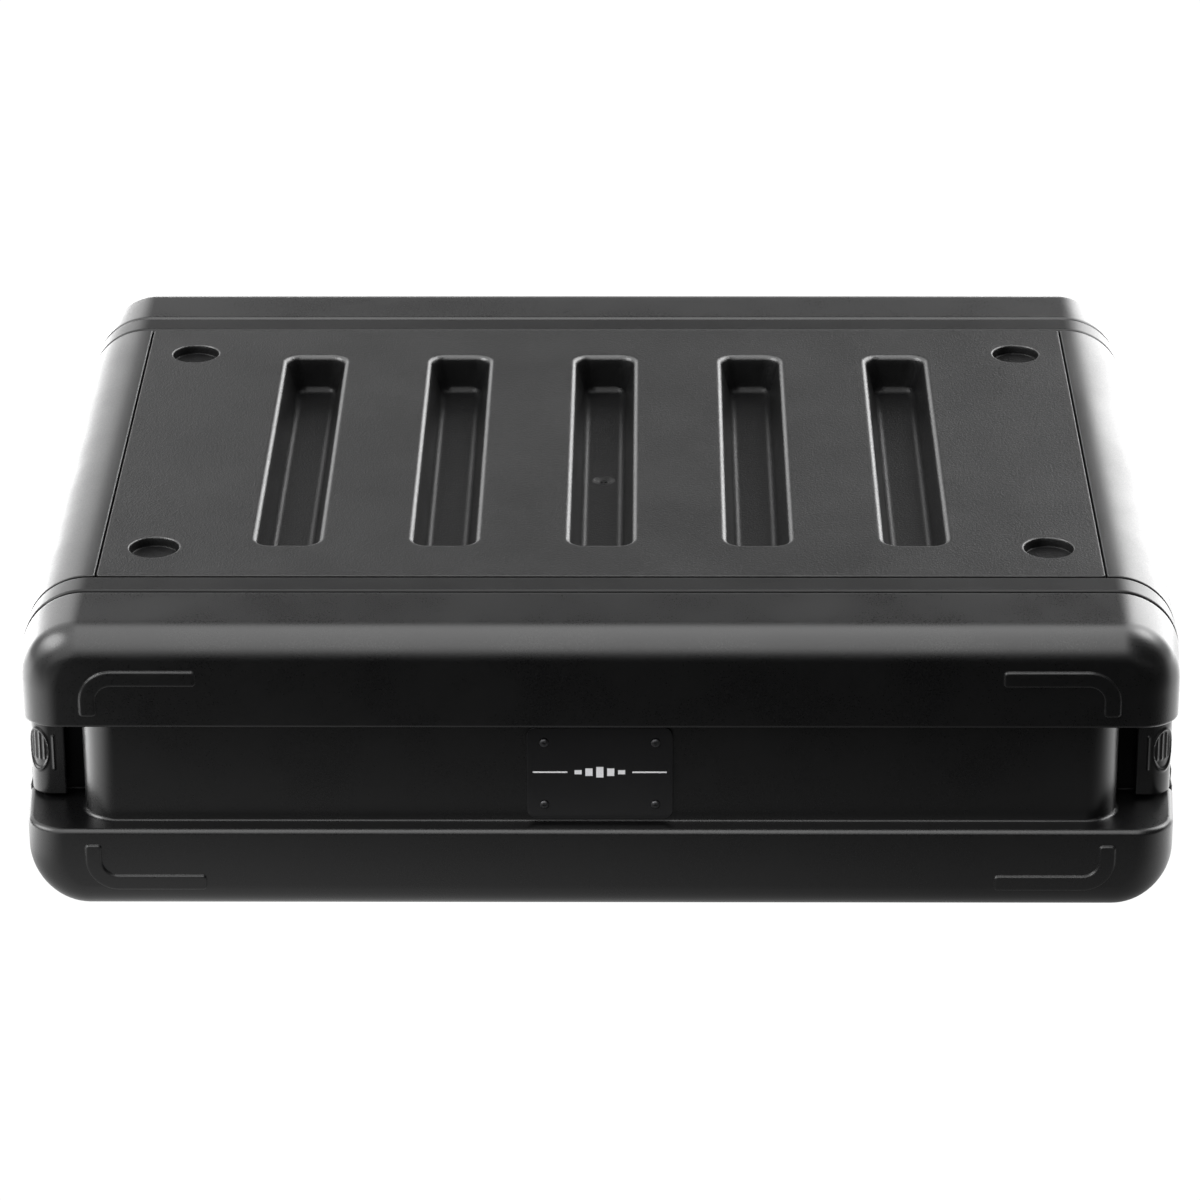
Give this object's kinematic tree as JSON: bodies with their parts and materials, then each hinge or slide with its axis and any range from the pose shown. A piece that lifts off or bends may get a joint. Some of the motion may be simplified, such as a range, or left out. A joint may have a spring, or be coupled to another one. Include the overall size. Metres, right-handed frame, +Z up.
{
  "type": "rack format transport case",
  "caption": "Closed moulded two-unit 19-inch-format transport case with lift-off end covers, corner push latches, pocketed top and recessed side handles.",
  "frame": {"origin": "centre of the footprint, on the floor under the feet", "axes": "+X to the right seen from the front, +Y from the front cover to the rear cover, +Z up"},
  "size_m": [0.5596, 0.452, 0.154],
  "materials": {
    "shell": "black moulded plastic with a fine grain",
    "cover": "black moulded plastic, fine grain, slight sheen",
    "latch": "black glass-filled nylon, satin",
    "rubber": "black rubber",
    "badge": "gloss black plate with a pale grey emblem",
    "steel": "zinc plated steel",
    "rail": "black powder coated steel"
  },
  "bodies": {
    "case_body": {"bottom_panel": "shell", "foot_screw_1": "steel", "foot_screw_2": "steel", "foot_screw_3": "steel", "foot_screw_4": "steel", "front_frame": "shell", "front_gasket": "rubber", "front_left_latch_keeper": "latch", "front_left_rack_rail": "rail", "front_rail_screw_1": "steel", "front_rail_screw_2": "steel", "front_rail_screw_3": "steel", "front_rail_screw_4": "steel", "front_right_latch_keeper": "latch", "front_right_rack_rail": "rail", "left_handle_dish": "latch", "left_handle_rod": "steel", "left_side_panel": "shell", "rear_frame": "shell", "rear_gasket": "rubber", "rear_left_latch_keeper": "latch", "rear_left_rack_rail": "rail", "rear_rail_screw_1": "steel", "rear_rail_screw_2": "steel", "rear_rail_screw_3": "steel", "rear_rail_screw_4": "steel", "rear_right_latch_keeper": "latch", "rear_right_rack_rail": "rail", "right_handle_dish": "latch", "right_handle_rod": "steel", "right_side_panel": "shell", "rubber_foot_1": "rubber", "rubber_foot_2": "rubber", "rubber_foot_3": "rubber", "rubber_foot_4": "rubber", "top_panel": "shell"},
    "front_cover": {"badge_plate": "badge", "badge_screw_1": "steel", "badge_screw_2": "steel", "badge_screw_3": "steel", "badge_screw_4": "steel", "front_cover": "cover", "front_left_latch_pin": "steel", "front_left_latch_spring": "steel", "front_right_latch_pin": "steel", "front_right_latch_spring": "steel"},
    "rear_cover": {"rear_cover": "cover", "rear_left_latch_pin": "steel", "rear_left_latch_spring": "steel", "rear_right_latch_pin": "steel", "rear_right_latch_spring": "steel"},
    "front_left_latch": {"front_left_latch_lever": "latch"},
    "front_right_latch": {"front_right_latch_lever": "latch"},
    "rear_left_latch": {"rear_left_latch_lever": "latch"},
    "rear_right_latch": {"rear_right_latch_lever": "latch"},
    "left_handle": {"left_handle_grip": "rubber"},
    "right_handle": {"right_handle_grip": "rubber"}
  },
  "joints": [
    {"name": "front_cover_lift_off", "type": "slide", "parent": "case_body", "child": "front_cover", "axis": [0, -1, 0], "range_m": [0, 0.12]},
    {"name": "rear_cover_lift_off", "type": "slide", "parent": "case_body", "child": "rear_cover", "axis": [0, 1, 0], "range_m": [0, 0.12]},
    {"name": "front_left_latch_hinge", "type": "hinge", "parent": "front_cover", "child": "front_left_latch", "pos_m": [-0.2691, -0.1804, 0.07725], "axis": [0, 0, 1], "range_deg": [0, 14], "stiffness_Nm_per_rad": 0.15},
    {"name": "front_right_latch_hinge", "type": "hinge", "parent": "front_cover", "child": "front_right_latch", "pos_m": [0.2691, -0.1804, 0.07725], "axis": [0, 0, -1], "range_deg": [0, 14], "stiffness_Nm_per_rad": 0.15},
    {"name": "rear_left_latch_hinge", "type": "hinge", "parent": "rear_cover", "child": "rear_left_latch", "pos_m": [-0.2691, 0.1804, 0.07725], "axis": [0, 0, -1], "range_deg": [0, 14], "stiffness_Nm_per_rad": 0.15},
    {"name": "rear_right_latch_hinge", "type": "hinge", "parent": "rear_cover", "child": "rear_right_latch", "pos_m": [0.2691, 0.1804, 0.07725], "axis": [0, 0, 1], "range_deg": [0, 14], "stiffness_Nm_per_rad": 0.15},
    {"name": "left_handle_hinge", "type": "hinge", "parent": "case_body", "child": "left_handle", "pos_m": [-0.2705, 0, 0.1], "axis": [0, 1, 0], "range_deg": [0, 85]},
    {"name": "right_handle_hinge", "type": "hinge", "parent": "case_body", "child": "right_handle", "pos_m": [0.2705, 0, 0.1], "axis": [0, -1, 0], "range_deg": [0, 85]}
  ]
}
